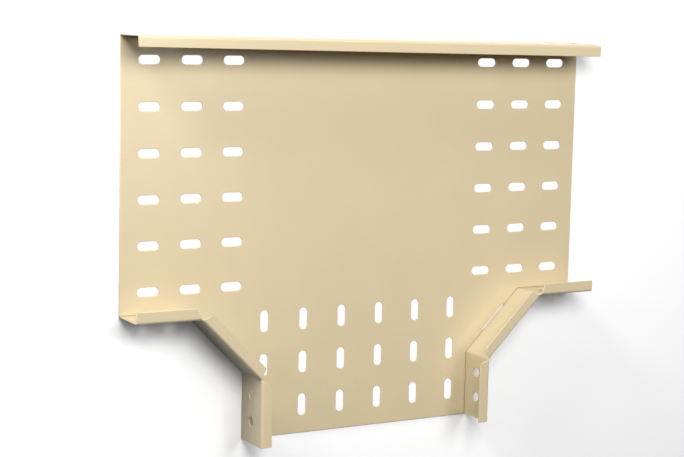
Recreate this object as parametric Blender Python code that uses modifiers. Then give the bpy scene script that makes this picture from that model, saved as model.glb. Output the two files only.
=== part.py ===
# Horizontal tee for a 300 mm perforated cable tray with inward return flanges.
# It lies on its bed: the main run is along X, the branch leaves it towards -Y, and +Z is up out of the tray.
# The origin is where the centrelines of the run and the branch cross, on the underside of the bed.
# The bed is one slotted plate. The side rails are folded strips that stand against its edges:
# a straight one behind, and two corner rails that turn twice by 45 degrees from the run into the branch.

import math

import bmesh
import bpy
from mathutils import Matrix, Vector

# Clear widths between the walls, and how far each end lies from the centrelines' crossing
RUN_WIDTH = 0.300
BRANCH_WIDTH = 0.300
ARM_REACH = 0.300
BRANCH_REACH = 0.300

# What each 45 degree wall takes off its inner corner, along either side of the corner
CORNER_LEG = 0.073

# Sheet and folds
SHEET = 0.0015
WALL_HEIGHT = 0.050
FLANGE_WIDTH = 0.0135
FOLD_RADIUS = 0.003
BEND_RADIUS = 0.0045

# Bed slots: one obround punch on a square grid, long way along the run it serves
SLOT_LENGTH = 0.025
SLOT_WIDTH = 0.010
SLOT_PITCH = 0.050
SLOT_END_MARGIN = 0.033
SLOT_COLUMNS = 3

# Coupler bolt holes, two near every end of every wall
BOLT_HOLE = 0.011
BOLT_FROM_END = 0.0255
BOLT_PITCH = 0.030
BOLT_HEIGHT = 0.024

# Seams between the bed and the rails, and the open slit in each 45 degree seam, a little nearer to the run
SEAM = 0.0006
CORNER_SEAM = 0.0004
SLIT_WIDTH = 0.0018
SLIT_LENGTH = 0.042
SLIT_TOWARDS_RUN = 0.0035

# The flange is notched to this angle at a bend, down to just below the fold, from a point just outside the wall
NOTCH_ANGLE = math.radians(84)
NOTCH_BELOW_FOLD = 0.0005
NOTCH_PAST_WALL = 0.0004

# Facets
FOLD_STEPS = 6
BEND_STEPS = 6
SLOT_END_STEPS = 8
HOLE_SEGMENTS = 28

BEND_ANGLE = math.radians(45)

for old in list(bpy.data.objects):
    bpy.data.objects.remove(old, do_unlink=True)

tray = bpy.data.collections.new("cable_tray_tee")
cutters = bpy.data.collections.new("cutters")
cutters.hide_render = True
bpy.context.scene.collection.children.link(tray)
bpy.context.scene.collection.children.link(cutters)


def powder_coat(name):
    """Ivory gloss powder coat on steel."""
    material = bpy.data.materials.new(name)
    material.use_nodes = True
    shader = material.node_tree.nodes["Principled BSDF"]
    shader.inputs["Base Color"].default_value = (0.72, 0.62, 0.42, 1.0)
    shader.inputs["Roughness"].default_value = 0.32
    shader.inputs["Metallic"].default_value = 0.0
    shader.inputs["Coat Weight"].default_value = 0.6
    shader.inputs["Coat Roughness"].default_value = 0.08
    return material


def add_object(name, mesh, collection):
    part = bpy.data.objects.new(name, mesh)
    collection.objects.link(part)
    return part


def obround(centre_x, centre_y, along):
    """The outline of a round-ended slot, long way along the unit vector given."""
    radius = SLOT_WIDTH / 2
    reach = SLOT_LENGTH / 2 - radius
    heading = math.atan2(along[1], along[0])
    points = []
    for end in (1, -1):
        start = heading - math.pi / 2 if end > 0 else heading + math.pi / 2
        for step in range(SLOT_END_STEPS + 1):
            turn = start + math.pi * step / SLOT_END_STEPS
            points.append(
                (
                    centre_x + end * reach * along[0] + radius * math.cos(turn),
                    centre_y + end * reach * along[1] + radius * math.sin(turn),
                )
            )
    return points


def grid_rows(width):
    """Slot rows across a clear width, centred, one pitch apart and half a pitch from each wall."""
    count = round(width / SLOT_PITCH)
    return [(row - (count - 1) / 2) * SLOT_PITCH for row in range(count)]


def bed_outline():
    """The tee-shaped blank, counter-clockwise, with its edges a seam away from the rails' inner faces."""
    half_run = RUN_WIDTH / 2 - SEAM
    half_branch = BRANCH_WIDTH / 2 - SEAM
    # The 45 degree edge is the line |x| + |y| = chamfer.
    chamfer = RUN_WIDTH / 2 + BRANCH_WIDTH / 2 + CORNER_LEG - CORNER_SEAM * math.sqrt(2)
    upper = Vector((chamfer - half_run, -half_run))
    lower = Vector((half_branch, half_branch - chamfer))
    down = (lower - upper).normalized()
    into_bed = Vector((down.y, -down.x))
    slit_middle = (upper + lower) / 2 - down * SLIT_TOWARDS_RUN
    slit_start = slit_middle - down * SLIT_LENGTH / 2
    slit_end = slit_middle + down * SLIT_LENGTH / 2
    recess = into_bed * (SLIT_WIDTH - CORNER_SEAM)
    right = [
        Vector((half_branch, -BRANCH_REACH)),
        lower,
        slit_end,
        slit_end + recess,
        slit_start + recess,
        slit_start,
        upper,
        Vector((ARM_REACH, -half_run)),
        Vector((ARM_REACH, half_run)),
    ]
    left = [Vector((-point.x, point.y)) for point in reversed(right)]
    return right + left


def make_bed():
    """The slotted plate, as a flat outline with the slots as holes in it."""
    curve = bpy.data.curves.new("bed_outline", "CURVE")
    curve.dimensions = "2D"
    curve.fill_mode = "BOTH"
    curve.extrude = SHEET / 2
    loops = [[tuple(point) for point in bed_outline()]]
    for column in range(SLOT_COLUMNS):
        out = SLOT_END_MARGIN + column * SLOT_PITCH
        for row in grid_rows(RUN_WIDTH):
            loops.append(obround(out - ARM_REACH, row, (1, 0)))
            loops.append(obround(ARM_REACH - out, row, (1, 0)))
        for row in grid_rows(BRANCH_WIDTH):
            loops.append(obround(row, out - BRANCH_REACH, (0, 1)))
    for loop in loops:
        spline = curve.splines.new("POLY")
        spline.points.add(len(loop) - 1)
        for point, (x, y) in zip(spline.points, loop):
            point.co = (x, y, 0, 1)
        spline.use_cyclic_u = True
    flat = add_object("bed_outline", curve, tray)
    flat.location.z = SHEET / 2
    bpy.context.view_layer.update()
    graph = bpy.context.evaluated_depsgraph_get()
    mesh = bpy.data.meshes.new_from_object(flat.evaluated_get(graph))
    mesh.name = "bed"
    welded = bmesh.new()
    welded.from_mesh(mesh)
    bmesh.ops.remove_doubles(welded, verts=welded.verts, dist=1e-6)
    bmesh.ops.recalc_face_normals(welded, faces=welded.faces)
    welded.to_mesh(mesh)
    welded.free()
    bed = add_object("bed", mesh, tray)
    bed.matrix_world = flat.matrix_world
    bpy.data.objects.remove(flat, do_unlink=True)
    bed.data.materials.clear()
    bed.data.materials.append(powder_coat("bed_coat"))
    return bed


def rail_profile(shape, start, inward):
    """The rail's outer skin in section: up the wall, round the fold and in along the flange."""
    points = [(0, 0), (0, WALL_HEIGHT - FOLD_RADIUS)]
    for step in range(1, FOLD_STEPS + 1):
        turn = math.pi / 2 * step / FOLD_STEPS
        points.append(
            (
                FOLD_RADIUS * (1 - math.cos(turn)),
                WALL_HEIGHT - FOLD_RADIUS * (1 - math.sin(turn)),
            )
        )
    points.append((FLANGE_WIDTH, WALL_HEIGHT))
    verts = [
        shape.verts.new((start.x + inward.x * d, start.y + inward.y * d, z))
        for d, z in points
    ]
    return [shape.edges.new(pair) for pair in zip(verts, verts[1:])]


def run_straight(shape, edges, heading, length):
    """Draws the section along a straight wall and returns the section at its far end."""
    made = bmesh.ops.extrude_edge_only(shape, edges=edges)["geom"]
    verts = [item for item in made if isinstance(item, bmesh.types.BMVert)]
    bmesh.ops.translate(shape, verts=verts, vec=heading * length)
    return [
        item
        for item in made
        if isinstance(item, bmesh.types.BMEdge) and all(v in verts for v in item.verts)
    ]


def run_bend(shape, edges, centre):
    """Turns the section round a vertical axis by one bend and returns the section at its far end."""
    verts = list({vert for edge in edges for vert in edge.verts})
    made = bmesh.ops.spin(
        shape,
        geom=verts + list(edges),
        cent=centre,
        axis=(0, 0, 1),
        angle=-BEND_ANGLE,
        steps=BEND_STEPS,
    )["geom_last"]
    return [item for item in made if isinstance(item, bmesh.types.BMEdge)]


def finish_rail(name, shape, mirrored):
    """Gives the skin its sheet thickness on the tray side, and mirrors it for the right-hand rail."""
    bmesh.ops.recalc_face_normals(shape, faces=shape.faces)
    top = max(shape.faces, key=lambda face: face.calc_center_median().z)
    if top.normal.z < 0:
        bmesh.ops.reverse_faces(shape, faces=shape.faces)
    if mirrored:
        bmesh.ops.scale(shape, verts=shape.verts, vec=(-1, 1, 1))
        bmesh.ops.reverse_faces(shape, faces=shape.faces)
    mesh = bpy.data.meshes.new(name)
    shape.to_mesh(mesh)
    shape.free()
    rail = add_object(name, mesh, tray)
    rail.data.materials.append(powder_coat(name + "_coat"))
    solid = rail.modifiers.new("sheet", "SOLIDIFY")
    solid.thickness = SHEET
    solid.offset = -1
    solid.use_even_offset = True
    solid.use_quality_normals = True
    return rail


def add_bolt_hole(shape, position, through):
    """A cylinder through the wall at this place, with its axis along the wall's normal."""
    turn = through.to_track_quat("Z", "Y").to_matrix().to_4x4()
    bmesh.ops.create_cone(
        shape,
        cap_ends=True,
        segments=HOLE_SEGMENTS,
        radius1=BOLT_HOLE / 2,
        radius2=BOLT_HOLE / 2,
        depth=8 * SHEET,
        matrix=Matrix.Translation(position) @ turn,
    )


def add_notch(shape, apex, heading):
    """A prism whose sharp edge stands at the apex and which widens towards the tray by the notch's angle."""
    reach = 3 * FLANGE_WIDTH
    half_width = reach * math.tan(NOTCH_ANGLE / 2)
    bottom = WALL_HEIGHT - FOLD_RADIUS - NOTCH_BELOW_FOLD
    height = FOLD_RADIUS + 4 * SHEET
    across = Vector((-heading.y, heading.x, 0))
    foot = Vector((apex.x, apex.y, bottom))
    corners = [
        foot,
        foot + heading * reach - across * half_width,
        foot + heading * reach + across * half_width,
    ]
    base = shape.faces.new([shape.verts.new(corner) for corner in corners])
    raised = bmesh.ops.extrude_face_region(shape, geom=[base])["geom"]
    bmesh.ops.translate(
        shape,
        verts=[item for item in raised if isinstance(item, bmesh.types.BMVert)],
        vec=(0, 0, height),
    )


def cut_rail(rail, shape, mirrored):
    """Cuts the notches and bolt holes out of a rail."""
    if mirrored:
        bmesh.ops.scale(shape, verts=shape.verts, vec=(-1, 1, 1))
    bmesh.ops.recalc_face_normals(shape, faces=shape.faces)
    mesh = bpy.data.meshes.new(rail.name + "_cuts")
    shape.to_mesh(mesh)
    shape.free()
    cutter = add_object(rail.name + "_cuts", mesh, cutters)
    cutter.hide_render = True
    cutter.display_type = "WIRE"
    cut = rail.modifiers.new("cuts", "BOOLEAN")
    cut.operation = "DIFFERENCE"
    cut.object = cutter


def bolt_distances():
    return [BOLT_FROM_END, BOLT_FROM_END + BOLT_PITCH]


def make_back_rail():
    """The straight rail along the back of the run."""
    shape = bmesh.new()
    start = Vector((-ARM_REACH, RUN_WIDTH / 2 + SHEET, 0))
    section = rail_profile(shape, start, Vector((0, -1, 0)))
    run_straight(shape, section, Vector((1, 0, 0)), 2 * ARM_REACH)
    rail = finish_rail("rail_back", shape, False)
    cuts = bmesh.new()
    for distance in bolt_distances():
        for side in (-1, 1):
            x = side * (ARM_REACH - distance)
            position = Vector((x, RUN_WIDTH / 2 + SHEET / 2, BOLT_HEIGHT))
            add_bolt_hole(cuts, position, Vector((0, 1, 0)))
    cut_rail(rail, cuts, False)
    return rail


def make_corner_rail(name, mirrored):
    """A rail from one end of the run round to the branch, drawn for the left and mirrored for the right."""
    # Outer face of the sheet: run wall at y = -run, branch wall at x = -branch, 45 degree wall on |x| + |y| = slope
    run = RUN_WIDTH / 2 + SHEET
    branch = BRANCH_WIDTH / 2 + SHEET
    slope = RUN_WIDTH / 2 + BRANCH_WIDTH / 2 + CORNER_LEG + SHEET * math.sqrt(2)
    first_corner = Vector((run - slope, -run, 0))
    second_corner = Vector((-branch, branch - slope, 0))
    tangent = BEND_RADIUS * math.tan(BEND_ANGLE / 2)
    along_run = Vector((1, 0, 0))
    along_slope = (second_corner - first_corner).normalized()
    along_branch = Vector((0, -1, 0))

    shape = bmesh.new()
    start = Vector((-ARM_REACH, -run, 0))
    section = rail_profile(shape, start, Vector((0, 1, 0)))
    first_bend = first_corner - along_run * tangent
    section = run_straight(shape, section, along_run, (first_bend - start).length)
    first_centre = first_bend + Vector((0, -BEND_RADIUS, 0))
    section = run_bend(shape, section, first_centre)
    slope_length = (second_corner - first_corner).length - 2 * tangent
    section = run_straight(shape, section, along_slope, slope_length)
    second_bend = second_corner + along_branch * tangent
    second_centre = second_bend + Vector((-BEND_RADIUS, 0, 0))
    section = run_bend(shape, section, second_centre)
    branch_length = BRANCH_REACH + second_bend.y
    run_straight(shape, section, along_branch, branch_length)
    rail = finish_rail(name, shape, mirrored)

    cuts = bmesh.new()
    for centre, steepness in ((first_centre, 1.5), (second_centre, 0.5)):
        heading = Matrix.Rotation(BEND_ANGLE * steepness, 3, "Z") @ Vector((1, 0, 0))
        add_notch(cuts, centre + heading * (BEND_RADIUS - NOTCH_PAST_WALL), heading)
    for distance in bolt_distances():
        on_run = Vector((distance - ARM_REACH, -run + SHEET / 2, BOLT_HEIGHT))
        on_branch = Vector((-branch + SHEET / 2, distance - BRANCH_REACH, BOLT_HEIGHT))
        add_bolt_hole(cuts, on_run, Vector((0, 1, 0)))
        add_bolt_hole(cuts, on_branch, Vector((1, 0, 0)))
    cut_rail(rail, cuts, mirrored)
    return rail


bed = make_bed()
rails = [
    make_back_rail(),
    make_corner_rail("rail_left", False),
    make_corner_rail("rail_right", True),
]

# The rails are fixed to the bed, which carries the frame
for rail in rails:
    rail.parent = bed
    rail.matrix_parent_inverse = bed.matrix_world.inverted()
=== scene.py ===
import math

import bmesh
import bpy
from mathutils import Matrix, Vector


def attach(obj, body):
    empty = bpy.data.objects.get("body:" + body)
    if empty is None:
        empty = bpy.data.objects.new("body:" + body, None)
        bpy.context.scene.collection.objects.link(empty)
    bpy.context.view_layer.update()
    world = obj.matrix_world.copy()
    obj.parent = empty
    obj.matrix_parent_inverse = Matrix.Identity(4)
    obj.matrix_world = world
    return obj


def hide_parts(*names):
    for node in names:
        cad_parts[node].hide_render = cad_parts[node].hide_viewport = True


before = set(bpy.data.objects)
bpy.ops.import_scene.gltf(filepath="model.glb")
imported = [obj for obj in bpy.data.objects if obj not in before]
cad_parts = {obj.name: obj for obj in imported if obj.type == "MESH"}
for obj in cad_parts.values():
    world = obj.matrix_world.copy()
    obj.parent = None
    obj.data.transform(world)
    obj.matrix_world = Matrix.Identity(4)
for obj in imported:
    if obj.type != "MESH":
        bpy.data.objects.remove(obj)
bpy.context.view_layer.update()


# Bed: one flat tee-shaped blank of 1.5 mm steel sheet, punched with rows of round-ended slots for bolts and
# cable ties. The punch rolls its edges over and the powder coat rounds them further, so every edge has a
# small radius. The rails stand against it, with a hairline seam between.
SHEET = 0.0015
ROLLED_EDGE = 0.0006
ROLLED_EDGE_STEPS = 3
HALF_RUN = 0.150
HALF_BRANCH = 0.150
ARM_REACH = 0.300
BRANCH_REACH = 0.300
CORNER_LEG = 0.073
STRAIGHT_SEAM = 0.0006
CORNER_SEAM = 0.0004
SLIT_WIDTH = 0.0018
SLIT_LENGTH = 0.042
SLIT_TOWARDS_RUN = 0.0035
SLOT_LENGTH = 0.025
SLOT_WIDTH = 0.010
SLOT_PITCH = 0.050
FIRST_SLOT = 0.033
SLOTS_OUTWARD = 3
SLOTS_ACROSS = 6
ROUND_END_STEPS = 16
SAME_POINT = 2e-6
FLAT_FACE_LEAD = 60
THIN_FILM_ROUGHNESS = 0.25
THICK_FILM_ROUGHNESS = 0.19
THIN_FILM = 0.3
THICK_FILM = 0.7
COAT_IOR = 1.5
DEEPER_IVORY = (0.645, 0.538, 0.347, 1)
PALER_IVORY = (0.669, 0.560, 0.363, 1)
DRIFT_SCALE = 14
PEEL_SCALE = 420
PEEL_DEPTH = 0.00009


def gloss_ivory_coat():
    """Baked polyester powder: an ivory gloss with the fine waviness of orange peel."""
    coat = bpy.data.materials.new("gloss_ivory_powder_coat")
    coat.use_nodes = True
    nodes, links = coat.node_tree.nodes, coat.node_tree.links
    shader = nodes["Principled BSDF"]
    shader.inputs["IOR"].default_value = COAT_IOR

    place = nodes.new("ShaderNodeTexCoord")

    # The powder melts to a film of uneven depth, so its colour drifts a little over a few centimetres
    drift = nodes.new("ShaderNodeTexNoise")
    drift.inputs["Scale"].default_value = DRIFT_SCALE
    drift.inputs["Detail"].default_value = 3
    tint = nodes.new("ShaderNodeValToRGB")
    tint.color_ramp.elements[0].position = THIN_FILM
    tint.color_ramp.elements[0].color = DEEPER_IVORY
    tint.color_ramp.elements[1].position = THICK_FILM
    tint.color_ramp.elements[1].color = PALER_IVORY
    links.new(place.outputs["Object"], drift.inputs["Vector"])
    links.new(drift.outputs["Fac"], tint.inputs["Fac"])
    links.new(tint.outputs["Color"], shader.inputs["Base Color"])

    # A thicker film levels better on its way to setting, so it is also the glossier
    gloss = nodes.new("ShaderNodeMapRange")
    gloss.inputs["From Min"].default_value = THIN_FILM
    gloss.inputs["From Max"].default_value = THICK_FILM
    gloss.inputs["To Min"].default_value = THIN_FILM_ROUGHNESS
    gloss.inputs["To Max"].default_value = THICK_FILM_ROUGHNESS
    links.new(drift.outputs["Fac"], gloss.inputs["Value"])
    links.new(gloss.outputs["Result"], shader.inputs["Roughness"])

    # Orange peel, about 2.5 mm from crest to crest and a few hundredths of a millimetre deep
    peel = nodes.new("ShaderNodeTexNoise")
    peel.inputs["Scale"].default_value = PEEL_SCALE
    peel.inputs["Detail"].default_value = 1.5
    peel.inputs["Roughness"].default_value = 0.45
    waves = nodes.new("ShaderNodeBump")
    waves.inputs["Strength"].default_value = 1.0
    waves.inputs["Distance"].default_value = PEEL_DEPTH
    links.new(place.outputs["Object"], peel.inputs["Vector"])
    links.new(peel.outputs["Fac"], waves.inputs["Height"])
    links.new(waves.outputs["Normal"], shader.inputs["Normal"])
    return coat


def punched_hole(x, y, length, width, along_y=False):
    """A round-ended slot's outline, or a round hole's where the length is the width."""
    radius = width / 2
    reach = length / 2 - radius
    points = []
    for end in (1, -1):
        for step in range(ROUND_END_STEPS + 1):
            if reach == 0 and step == ROUND_END_STEPS:
                continue
            turn = math.pi * step / ROUND_END_STEPS - math.pi / 2 + (0 if end > 0 else math.pi)
            u = end * reach + radius * math.cos(turn)
            v = radius * math.sin(turn)
            points.append((x - v, y + u) if along_y else (x + u, y + v))
    return points


def punched_blank(name, outline, holes):
    """A flat blank of the sheet, cut to an outline with holes in it, its edges rolled over on both faces."""
    curve = bpy.data.curves.new(name, "CURVE")
    curve.dimensions = "2D"
    curve.fill_mode = "BOTH"
    curve.extrude = SHEET / 2 - ROLLED_EDGE
    curve.bevel_depth = ROLLED_EDGE
    curve.bevel_resolution = ROLLED_EDGE_STEPS
    curve.offset = -ROLLED_EDGE
    for loop in [outline] + holes:
        spline = curve.splines.new("POLY")
        spline.points.add(len(loop) - 1)
        for point, (x, y) in zip(spline.points, loop):
            point.co = (x, y, 0, 1)
        spline.use_cyclic_u = True
    drawn = bpy.data.objects.new(name, curve)
    bpy.context.scene.collection.objects.link(drawn)
    bpy.context.view_layer.update()
    flat = bpy.data.meshes.new_from_object(drawn.evaluated_get(bpy.context.evaluated_depsgraph_get()))
    bpy.data.objects.remove(drawn, do_unlink=True)
    blank = bmesh.new()
    blank.from_mesh(flat)
    bpy.data.meshes.remove(flat)
    bmesh.ops.translate(blank, verts=blank.verts, vec=(0, 0, SHEET / 2))
    bmesh.ops.remove_doubles(blank, verts=blank.verts, dist=SAME_POINT)
    bmesh.ops.recalc_face_normals(blank, faces=blank.faces)
    return blank


def coated_piece(name, blank, node):
    """The finished piece in place of its CAD solid, shaded smooth over its rounded edges and folds."""
    mesh = bpy.data.meshes.new(name)
    blank.to_mesh(mesh)
    blank.free()
    mesh.shade_smooth()
    piece = bpy.data.objects.new(name, mesh)
    bpy.context.scene.collection.objects.link(piece)
    mesh.materials.append(ivory_coat)
    normals = piece.modifiers.new("flat_faces_lead", "WEIGHTED_NORMAL")
    normals.keep_sharp = False
    normals.weight = FLAT_FACE_LEAD
    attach(piece, "root")
    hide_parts(node)


def mirrored(point):
    """The same place on the other side of the tee."""
    return Vector((-point.x, point.y))


ivory_coat = gloss_ivory_coat()

# Its outline from the branch's end round the right corner to the back, then the same mirrored
run_edge = HALF_RUN - STRAIGHT_SEAM
branch_edge = HALF_BRANCH - STRAIGHT_SEAM
branch_end = Vector((branch_edge, -BRANCH_REACH))
run_end = Vector((ARM_REACH, -run_edge))
back_end = Vector((ARM_REACH, run_edge))
chamfer = HALF_RUN + HALF_BRANCH + CORNER_LEG - CORNER_SEAM * math.sqrt(2)
upper = Vector((chamfer - run_edge, -run_edge))
lower = Vector((branch_edge, branch_edge - chamfer))
down = (lower - upper).normalized()
recess = Vector((down.y, -down.x)) * (SLIT_WIDTH - CORNER_SEAM)
slit_middle = (upper + lower) / 2 - down * SLIT_TOWARDS_RUN
slit_top = slit_middle - down * SLIT_LENGTH / 2
slit_foot = slit_middle + down * SLIT_LENGTH / 2
right_side = [
    branch_end,
    lower,
    slit_foot,
    slit_foot + recess,
    slit_top + recess,
    slit_top,
    upper,
    run_end,
    back_end,
]
left_side = [mirrored(point) for point in reversed(right_side)]
bed_outline = [tuple(point) for point in right_side + left_side]

slots = []
for column in range(SLOTS_OUTWARD):
    out = FIRST_SLOT + column * SLOT_PITCH
    for row in range(SLOTS_ACROSS):
        across = (row - (SLOTS_ACROSS - 1) / 2) * SLOT_PITCH
        slots.append(punched_hole(out - ARM_REACH, across, SLOT_LENGTH, SLOT_WIDTH))
        slots.append(punched_hole(ARM_REACH - out, across, SLOT_LENGTH, SLOT_WIDTH))
        slots.append(punched_hole(across, out - BRANCH_REACH, SLOT_LENGTH, SLOT_WIDTH, along_y=True))

bed_blank = punched_blank("bed_blank", bed_outline, slots)

# The coat has run down into the seams and bridges them near the underside, all but the two open slits.
BRIDGE_TOP = 0.0005
BRIDGE_UNDERSIDE = 0.0003
BRIDGE_OVERLAP = 0.0004
BRIDGE_CLEARANCE = 0.00003


def coat_bridge(start, end, seam):
    """A thin strip of coat along one edge of the bed, from under its rolled edge almost to the rail."""
    along = (end - start).normalized()
    outward = Vector((along.y, -along.x))
    under = outward * BRIDGE_OVERLAP
    over = outward * (seam - BRIDGE_CLEARANCE)
    ring = [start - under, start + over, end + over, end - under]
    lower_ring = [bed_blank.verts.new((point.x, point.y, BRIDGE_UNDERSIDE)) for point in ring]
    upper_ring = [bed_blank.verts.new((point.x, point.y, BRIDGE_TOP)) for point in ring]
    bed_blank.faces.new(upper_ring)
    bed_blank.faces.new(reversed(lower_ring))
    for corner in range(4):
        after = (corner + 1) % 4
        bed_blank.faces.new([lower_ring[corner], lower_ring[after], upper_ring[after], upper_ring[corner]])


right_seams = [
    (branch_end, lower, STRAIGHT_SEAM),
    (lower, slit_foot, CORNER_SEAM),
    (slit_top, upper, CORNER_SEAM),
    (upper, run_end, STRAIGHT_SEAM),
]
for start, end, seam in right_seams:
    coat_bridge(start, end, seam)
    coat_bridge(mirrored(end), mirrored(start), seam)
coat_bridge(back_end, mirrored(back_end), STRAIGHT_SEAM)
coated_piece("slotted_bed", bed_blank, "bed")


# Back rail: a strip punched with two bolt holes near each end, then folded over a 3 mm radius into a wall
# and an inward return flange, and made here the same way. Held only by its foot, the long wall leans in a
# little at its right end, and its flange, sheared by hand, is a millimetre narrower at the left.
WALL_HEIGHT = 0.050
FLANGE_WIDTH = 0.0135
FOLD_RADIUS = 0.003
BOLT_HOLE = 0.011
BOLT_FROM_END = 0.0255
BOLT_PITCH = 0.030
BOLT_HEIGHT = 0.024
FOLD_STEPS = 10
ON_THE_LINE = 1e-7
END_LEAN = math.radians(4.3)
LEAN_GROWTH = 1.5
FLANGE_TAPER = 0.001

fold_start = WALL_HEIGHT - FOLD_RADIUS
fold_end = fold_start + FOLD_RADIUS * math.pi / 2
free_edge = fold_end + FLANGE_WIDTH - FOLD_RADIUS


def score_lines(blank, start, end, steps, normal):
    """Divides the blank across the lines between start and end, so that it can curve there."""
    for step in range(steps + 1):
        place = Vector(normal) * (start + (end - start) * step / steps)
        everything = blank.verts[:] + blank.edges[:] + blank.faces[:]
        bmesh.ops.bisect_plane(blank, geom=everything, dist=ON_THE_LINE, plane_co=place, plane_no=normal)


def fold_flange(blank):
    """Folds the flange over: x then runs along the rail, y is depth from its outer face, z is height."""
    score_lines(blank, fold_start, fold_end, FOLD_STEPS, (0, 1, 0))
    for vert in blank.verts:
        along, up, depth = vert.co
        if up <= fold_start:
            vert.co = (along, depth, up)
        elif up >= fold_end:
            vert.co = (along, FOLD_RADIUS + up - fold_end, WALL_HEIGHT - depth)
        else:
            turn = (up - fold_start) / FOLD_RADIUS
            radius = FOLD_RADIUS - depth
            vert.co = (along, FOLD_RADIUS - radius * math.cos(turn), fold_start + radius * math.sin(turn))


def bolt_holes(length):
    """Outlines of the coupler bolt holes near both ends of a rail."""
    places = [BOLT_FROM_END, BOLT_FROM_END + BOLT_PITCH]
    return [
        punched_hole(place, BOLT_HEIGHT, BOLT_HOLE, BOLT_HOLE)
        for place in places + [length - place for place in places]
    ]


# The blank lies along x with its width up y, and the folded rail is then leaned and put in its place
back_length = 2 * ARM_REACH
back_outline = [(0, 0), (back_length, 0), (back_length, free_edge), (0, free_edge - FLANGE_TAPER)]
back_blank = punched_blank("back_blank", back_outline, bolt_holes(back_length))
fold_flange(back_blank)
for vert in back_blank.verts:
    along, depth, height = vert.co
    lean = END_LEAN * max(0, along / back_length) ** LEAN_GROWTH
    inward = depth * math.cos(lean) + height * math.sin(lean)
    height = max(0, height * math.cos(lean) - depth * math.sin(lean))
    vert.co = (along - ARM_REACH, HALF_RUN + SHEET - inward, height)
bmesh.ops.recalc_face_normals(back_blank, faces=back_blank.faces)
coated_piece("back_rail", back_blank, "rail_back")


# Corner rails: each is one strip like the back rail, with two V notches in its flange where it turns.
# With the flange folded it is bent by 45 degrees at each notch, from the run into the branch, which opens
# the notches to nearly a right angle. The right rail is the left one's mirror image.
BEND_RADIUS = 0.0045
BEND_ANGLE = math.radians(45)
BEND_STEPS = 10
NOTCH_FOOT = 0.0475
NOTCH_ANGLE = math.radians(39)

run_face = HALF_RUN + SHEET
branch_face = HALF_BRANCH + SHEET
slope_line = HALF_RUN + HALF_BRANCH + CORNER_LEG + SHEET * math.sqrt(2)
first_corner = Vector((run_face - slope_line, -run_face))
second_corner = Vector((-branch_face, branch_face - slope_line))
tangent = BEND_RADIUS * math.tan(BEND_ANGLE / 2)
bend_arc = BEND_RADIUS * BEND_ANGLE
run_length = first_corner.x + ARM_REACH - tangent
slope_length = (second_corner - first_corner).length - 2 * tangent
branch_length = BRANCH_REACH + second_corner.y - tangent
first_bend = run_length
second_bend = first_bend + bend_arc + slope_length
corner_length = second_bend + bend_arc + branch_length


def bend_wall(blank, start):
    """Bends everything past start by 45 degrees, about an upright axis on the outer side of the wall."""
    score_lines(blank, start, start + bend_arc, BEND_STEPS, (1, 0, 0))
    turned = Matrix.Rotation(-BEND_ANGLE, 2)
    for vert in blank.verts:
        along = vert.co.x - start
        if along <= 0:
            continue
        reach = BEND_RADIUS + vert.co.y
        if along < bend_arc:
            turn = along / BEND_RADIUS
            flat = Vector((math.sin(turn), math.cos(turn))) * reach
        else:
            flat = turned @ Vector((along - bend_arc, reach))
        vert.co = (start + flat.x, flat.y - BEND_RADIUS, vert.co.z)


def corner_rail(name, node, side):
    """One corner rail, from its flat blank to its place."""
    outline = [(0, 0), (corner_length, 0), (corner_length, free_edge)]
    opening = (free_edge - NOTCH_FOOT) * math.tan(NOTCH_ANGLE / 2)
    for start in (second_bend, first_bend):
        middle = start + bend_arc / 2
        outline += [(middle + opening, free_edge), (middle, NOTCH_FOOT), (middle - opening, free_edge)]
    outline.append((0, free_edge))
    blank = punched_blank(name + "_blank", outline, bolt_holes(corner_length))
    fold_flange(blank)
    score_lines(blank, first_bend, first_bend + bend_arc, BEND_STEPS, (1, 0, 0))
    bend_wall(blank, second_bend)
    bend_wall(blank, first_bend)
    for vert in blank.verts:
        vert.co = (side * (ARM_REACH - vert.co.x), vert.co.y - run_face, vert.co.z)
    bmesh.ops.recalc_face_normals(blank, faces=blank.faces)
    coated_piece(name, blank, node)


corner_rail("left_corner_rail", "rail_left", -1)
corner_rail("right_corner_rail", "rail_right", 1)


# Floor and light: plain pale paper, with a panel under the bed that shows through its slots. The panel glows
# evenly
# white for the camera and in the gloss: painted light in place of the bed's shadow on the floor there. Two
# soft boxes high up behind the tee, left and right, give the main light. A low one stands behind it on the
# left, a small one beside its left end and a weak one overhead, and the room itself is nearly dark.
PAPER_REACH = 6
PAPER_DROP = 0.0002
PAPER_WHITENESS = 0.96
PAPER_GLOW = 0.09
PANEL_DROP = 0.0001
PANEL_INSET = 0.0015
THROWN_BACK = 0.25
ROOM_GLOW = 0.003


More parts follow.
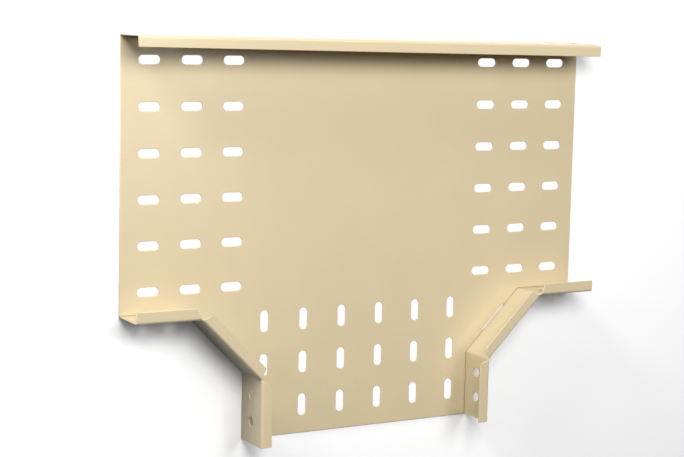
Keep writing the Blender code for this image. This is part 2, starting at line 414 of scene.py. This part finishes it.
def studio_sheet(name, corners, drop, whiteness, glow):
    """A flat sheet, seen at full strength directly and in the gloss, that throws little light on the tee."""
    mesh = bpy.data.meshes.new(name)
    mesh.from_pydata([(corner.x, corner.y, 0) for corner in corners], [], [range(len(corners))])
    sheet = bpy.data.objects.new(name, mesh)
    sheet.location.z = -drop
    bpy.context.scene.collection.objects.link(sheet)
    paper = bpy.data.materials.new(name + "_paper")
    paper.use_nodes = True
    nodes, links = paper.node_tree.nodes, paper.node_tree.links
    nodes.remove(nodes["Principled BSDF"])
    seen = nodes.new("ShaderNodeBsdfDiffuse")
    seen.inputs["Color"].default_value = (whiteness, whiteness, whiteness, 1)
    lift = nodes.new("ShaderNodeEmission")
    lift.inputs["Strength"].default_value = glow
    shown = nodes.new("ShaderNodeAddShader")
    unlit = nodes.new("ShaderNodeBsdfDiffuse")
    unlit.inputs["Color"].default_value = (THROWN_BACK, THROWN_BACK, THROWN_BACK, 1)
    path = nodes.new("ShaderNodeLightPath")
    in_the_gloss = nodes.new("ShaderNodeMath")
    in_the_gloss.operation = "MAXIMUM"
    either = nodes.new("ShaderNodeMath")
    either.operation = "MAXIMUM"
    pick = nodes.new("ShaderNodeMixShader")
    links.new(path.outputs["Is Glossy Ray"], in_the_gloss.inputs[0])
    links.new(path.outputs["Is Transmission Ray"], in_the_gloss.inputs[1])
    links.new(path.outputs["Is Camera Ray"], either.inputs[0])
    links.new(in_the_gloss.outputs[0], either.inputs[1])
    links.new(seen.outputs[0], shown.inputs[0])
    links.new(lift.outputs[0], shown.inputs[1])
    links.new(either.outputs[0], pick.inputs[0])
    links.new(unlit.outputs[0], pick.inputs[1])
    links.new(shown.outputs[0], pick.inputs[2])
    links.new(pick.outputs[0], nodes["Material Output"].inputs["Surface"])
    mesh.materials.append(paper)


def soft_box(name, from_zenith, bearing, distance, size, power):
    """A rectangular soft box that faces the tee: its angle down from overhead, and its bearing from +X."""
    light = bpy.data.lights.new(name, "AREA")
    light.shape = "RECTANGLE"
    light.size, light.size_y = size
    light.energy = power
    lamp = bpy.data.objects.new(name, light)
    tilt, turn = math.radians(from_zenith), math.radians(bearing)
    direction = Vector((math.sin(tilt) * math.cos(turn), math.sin(tilt) * math.sin(turn), math.cos(tilt)))
    lamp.location = direction * distance
    lamp.rotation_euler = direction.to_track_quat("Z", "Y").to_euler()
    bpy.context.scene.collection.objects.link(lamp)


paper_corners = [
    Vector((-PAPER_REACH, -PAPER_REACH)),
    Vector((PAPER_REACH, -PAPER_REACH)),
    Vector((PAPER_REACH, PAPER_REACH)),
    Vector((-PAPER_REACH, PAPER_REACH)),
]
panel_side = [
    Vector((branch_edge, PANEL_INSET - BRANCH_REACH)),
    lower,
    upper,
    Vector((ARM_REACH - PANEL_INSET, -run_edge)),
    Vector((ARM_REACH - PANEL_INSET, run_edge)),
]
panel_corners = panel_side + [mirrored(point) for point in reversed(panel_side)]
studio_sheet("studio_floor", paper_corners, drop=PAPER_DROP, whiteness=PAPER_WHITENESS, glow=PAPER_GLOW)
# The panel is no lamp: its glow is painted light that hides the bed's shadow on the floor seen through the
# slots
studio_sheet("white_panel", panel_corners, drop=PANEL_DROP, whiteness=0, glow=1)
soft_box("key_box", from_zenith=28, bearing=120, distance=1.9, size=(0.8, 0.8), power=26.5)
soft_box("right_box", from_zenith=28, bearing=50, distance=1.9, size=(0.8, 0.8), power=14.2)
soft_box("low_box", from_zenith=78, bearing=135, distance=2.0, size=(0.6, 0.5), power=25.5)
soft_box("top_box", from_zenith=10, bearing=10, distance=2.0, size=(0.7, 0.7), power=2.2)
soft_box("side_box", from_zenith=70, bearing=165, distance=1.1, size=(0.2, 0.2), power=1.45)

scene = bpy.context.scene
room = bpy.data.worlds.new("room")
room.use_nodes = True
room.node_tree.nodes["Background"].inputs["Color"].default_value = (1, 1, 1, 1)
room.node_tree.nodes["Background"].inputs["Strength"].default_value = ROOM_GLOW
scene.world = room
scene.view_settings.view_transform = "Standard"


# Camera: to the left of the tee and well above it, aimed at the run's middle. Its focal length was found in
# pixels of the picture, which is 684 of them wide.
SENSOR_WIDTH = 36
PICTURE_WIDTH = 684
FOCAL_LENGTH_IN_PIXELS = 1668.68
VIEWPOINT = (-0.97090, 0.16714, 1.65030)
AIM = (-7.7028, -29.6312, 1.4331)

camera = bpy.data.cameras.new("camera")
camera.sensor_width = SENSOR_WIDTH
camera.sensor_fit = "HORIZONTAL"
camera.lens = SENSOR_WIDTH * FOCAL_LENGTH_IN_PIXELS / PICTURE_WIDTH
viewpoint = bpy.data.objects.new("camera", camera)
viewpoint.location = VIEWPOINT
viewpoint.rotation_euler = [math.radians(angle) for angle in AIM]
scene.collection.objects.link(viewpoint)
scene.camera = viewpoint
